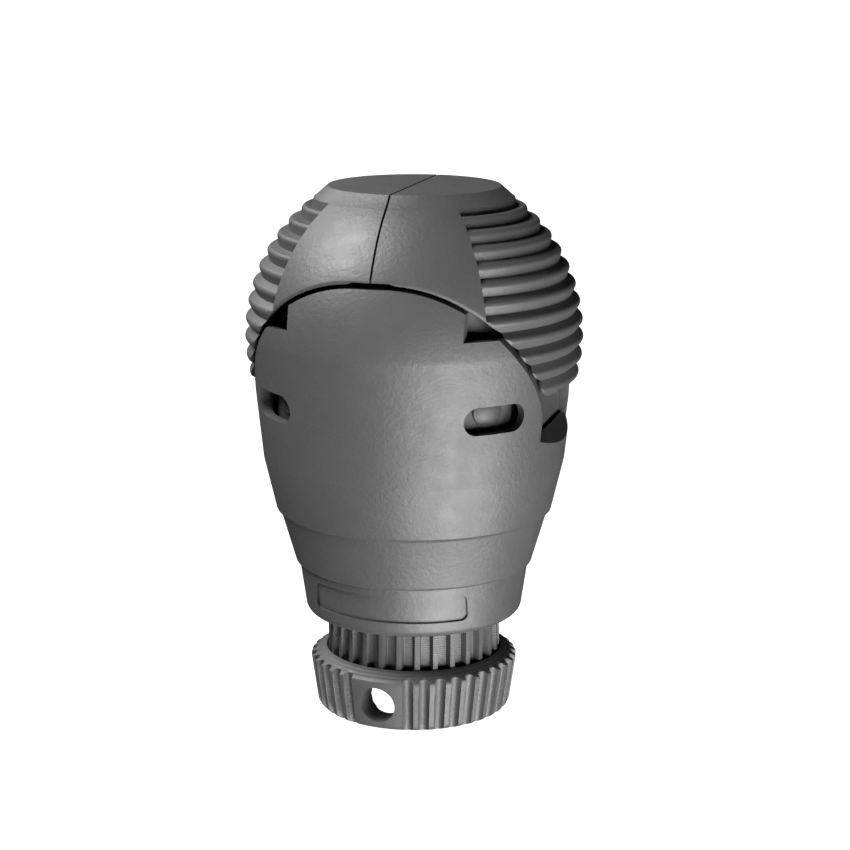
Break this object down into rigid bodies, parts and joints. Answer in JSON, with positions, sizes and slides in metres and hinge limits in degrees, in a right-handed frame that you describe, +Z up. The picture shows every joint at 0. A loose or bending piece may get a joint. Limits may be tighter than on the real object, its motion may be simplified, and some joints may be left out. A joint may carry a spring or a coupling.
{
  "type": "motorised valve actuator head",
  "caption": "Bulb-shaped battery-powered valve actuator head with ribbed hinged covers, a tiered housing and a knurled union nut with a tommy-bar hole.",
  "frame": {"origin": "on the valve axis at the union nut's open lower face", "axes": "+Z up the valve axis from the nut to the crown; -Y is the front with the name recess; +X is the right-hand cover"},
  "size_m": [0.0674, 0.066, 0.107],
  "materials": {
    "housing_plastic": "fine spark-eroded grain",
    "cover_plastic": "fine spark-eroded grain on smooth panels, plain on ribs",
    "nut_plastic": "glass-filled nylon, fine turned lines",
    "frame_plastic": "plain moulded",
    "steel": "ground",
    "brass": "turned",
    "gear_plastic": "acetal, as moulded",
    "motor_steel": "drawn and plated",
    "magnet": "ferrite",
    "cell_wrap": "plain printed wrap",
    "nickel": "nickel plated",
    "board_green": "solder mask",
    "chip_black": "moulded epoxy"
  },
  "bodies": {
    "housing": {"lower_housing": "housing_plastic", "neck_collar": "nut_plastic", "hinge_pin_right": "steel", "hinge_pin_left": "steel", "inner_chassis": "frame_plastic", "snap_studs": "frame_plastic", "chassis_posts": "frame_plastic", "base_plate": "frame_plastic", "bearing_plate": "steel", "lower_gear_axle": "steel", "upper_gear_axle": "steel", "plate_spacers": "brass", "gearbox_screws": "steel", "neck_screws": "steel", "thrust_washer": "brass", "motor_can": "motor_steel", "motor_end_cap": "frame_plastic", "motor_magnets": "magnet", "guide_bush": "gear_plastic", "battery_tray": "frame_plastic", "battery_contacts": "nickel", "battery_right": "cell_wrap", "battery_left": "cell_wrap", "circuit_board": "board_green", "board_pegs": "frame_plastic", "board_components": "chip_black"},
    "union_nut": {"union_nut": "nut_plastic"},
    "right_cover": {"half_shell_right": "cover_plastic"},
    "left_cover": {"half_shell_left": "cover_plastic"},
    "drive_gear": {"drive_gear": "gear_plastic"},
    "lower_gear": {"lower_stage_gear": "gear_plastic"},
    "upper_gear": {"upper_stage_gear": "gear_plastic"},
    "motor_shaft": {"motor_rotor": "steel", "motor_pinion": "brass"},
    "spindle": {"push_spindle": "brass"}
  },
  "joints": [
    {"name": "union_nut_spin", "type": "hinge", "parent": "housing", "child": "union_nut", "pos_m": [0, 0, 0.009], "axis": [0, 0, 1], "continuous": true},
    {"name": "right_cover_hinge", "type": "hinge", "parent": "housing", "child": "right_cover", "pos_m": [0.0242, 0, 0.0626], "axis": [0, 1, 0], "range_deg": [0, 32]},
    {"name": "left_cover_hinge", "type": "hinge", "parent": "housing", "child": "left_cover", "pos_m": [-0.0242, 0, 0.0626], "axis": [0, -1, 0], "range_deg": [0, 32]},
    {"name": "drive_gear_spin", "type": "hinge", "parent": "housing", "child": "drive_gear", "pos_m": [0, 0, 0.03], "axis": [0, 0, 1], "range_deg": [0, 540]},
    {"name": "lower_gear_spin", "type": "hinge", "parent": "housing", "child": "lower_gear", "pos_m": [0.0065, -0.01126, 0.03], "axis": [0, 0, 1], "range_deg": [-2268, 0]},
    {"name": "upper_gear_spin", "type": "hinge", "parent": "housing", "child": "upper_gear", "pos_m": [0.01252, -0.00391, 0.034], "axis": [0, 0, 1], "range_deg": [0, 6350.4]},
    {"name": "motor_shaft_spin", "type": "hinge", "parent": "housing", "child": "motor_shaft", "pos_m": [0.01044, 0.00536, 0.044], "axis": [0, 0, 1], "range_deg": [-17781.12, 0]},
    {"name": "spindle_slide", "type": "slide", "parent": "housing", "child": "spindle", "axis": [0, 0, -1], "range_m": [0, 0.0045]}
  ],
  "couplings": [
    {"joint": "lower_gear_spin", "follows": "drive_gear_spin", "ratio": -4.2},
    {"joint": "upper_gear_spin", "follows": "drive_gear_spin", "ratio": 11.76},
    {"joint": "motor_shaft_spin", "follows": "drive_gear_spin", "ratio": -32.928},
    {"joint": "spindle_slide", "follows": "drive_gear_spin", "m_per_rad": 0.00047746}
  ]
}
